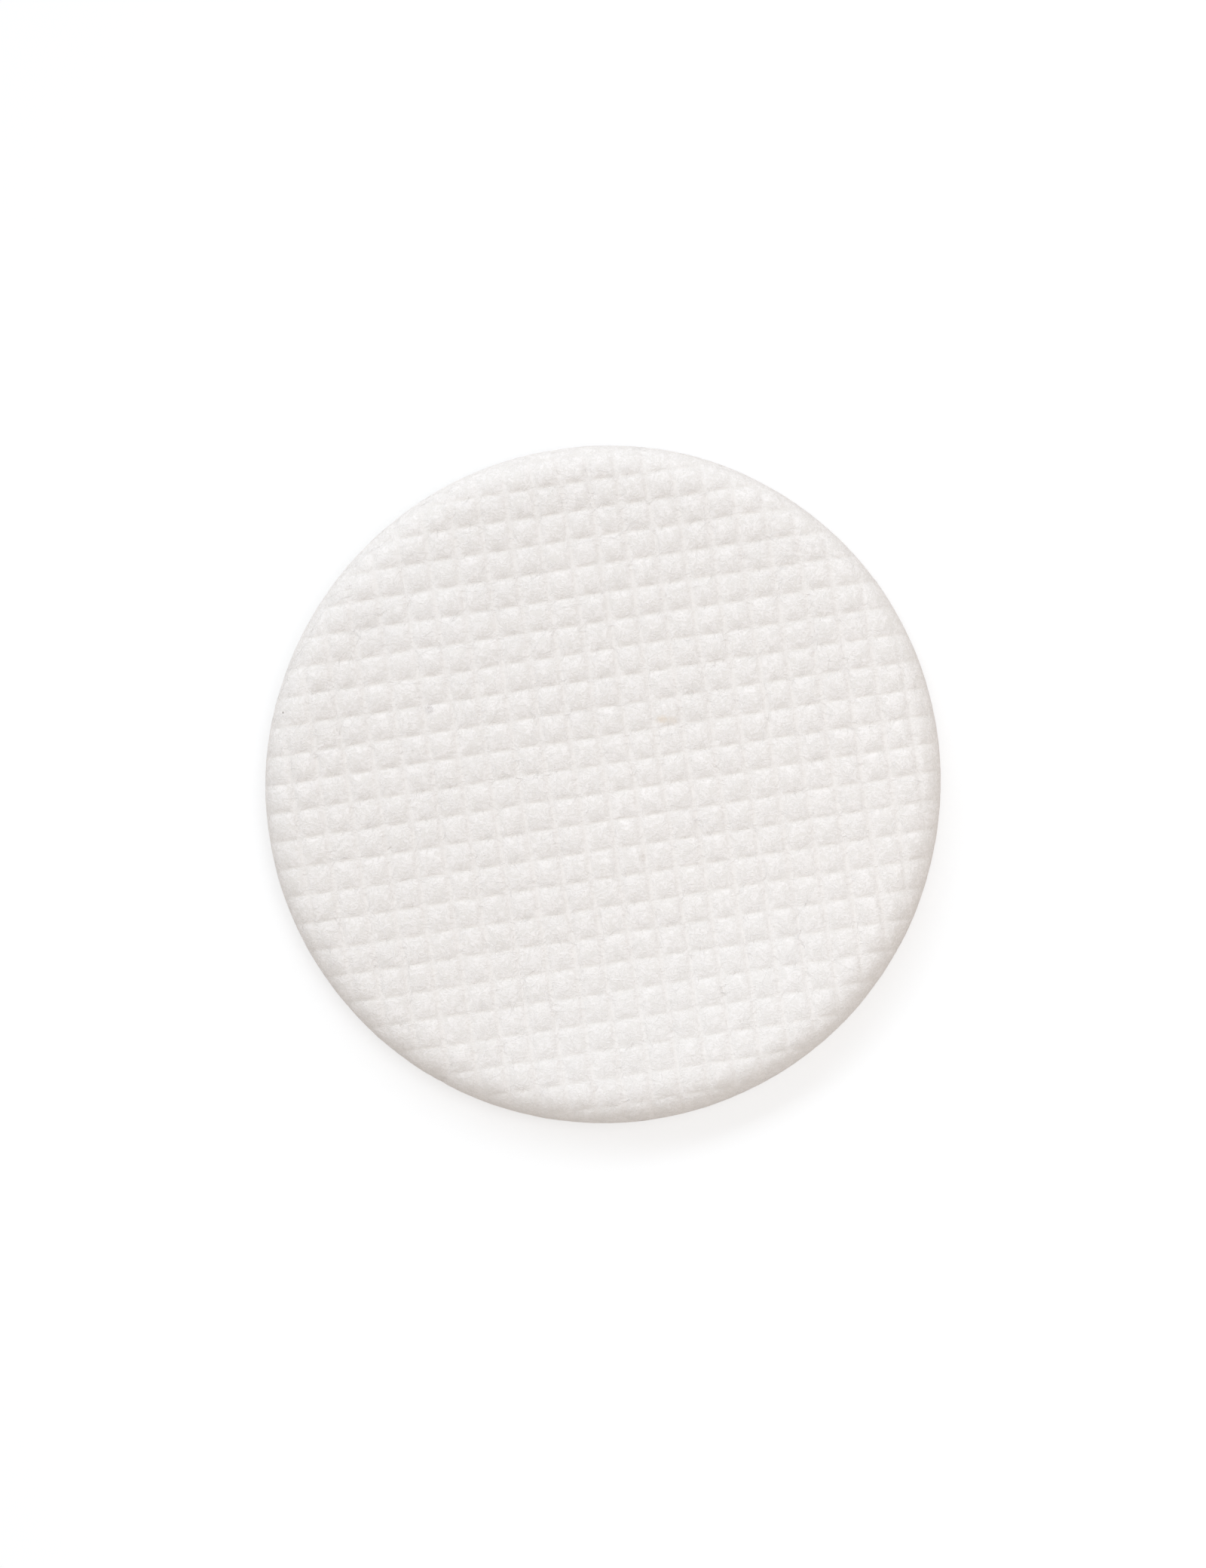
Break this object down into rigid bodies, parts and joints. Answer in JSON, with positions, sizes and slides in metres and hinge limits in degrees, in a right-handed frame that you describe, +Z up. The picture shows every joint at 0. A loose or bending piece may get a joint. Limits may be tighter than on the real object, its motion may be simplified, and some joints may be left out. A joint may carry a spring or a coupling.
{
  "type": "cotton pad",
  "caption": "Round flat disc of bonded cotton wadding with a rolled rim, embossed with a grid of small pillows on its upper face.",
  "frame": {"origin": "middle of the smooth flat underside", "axes": "+Z up through the thickness, out of the embossed face; +Y and +X lie in the plane of the pad, 8.6 degrees clockwise of the grid's columns and rows"},
  "size_m": [0.06, 0.06, 0.0042],
  "materials": {
    "cotton": "matt bleached cotton wadding, slightly warm white, with fine loose fibres"
  },
  "bodies": {
    "root": {"cotton_pad": "cotton"}
  },
  "joints": []
}
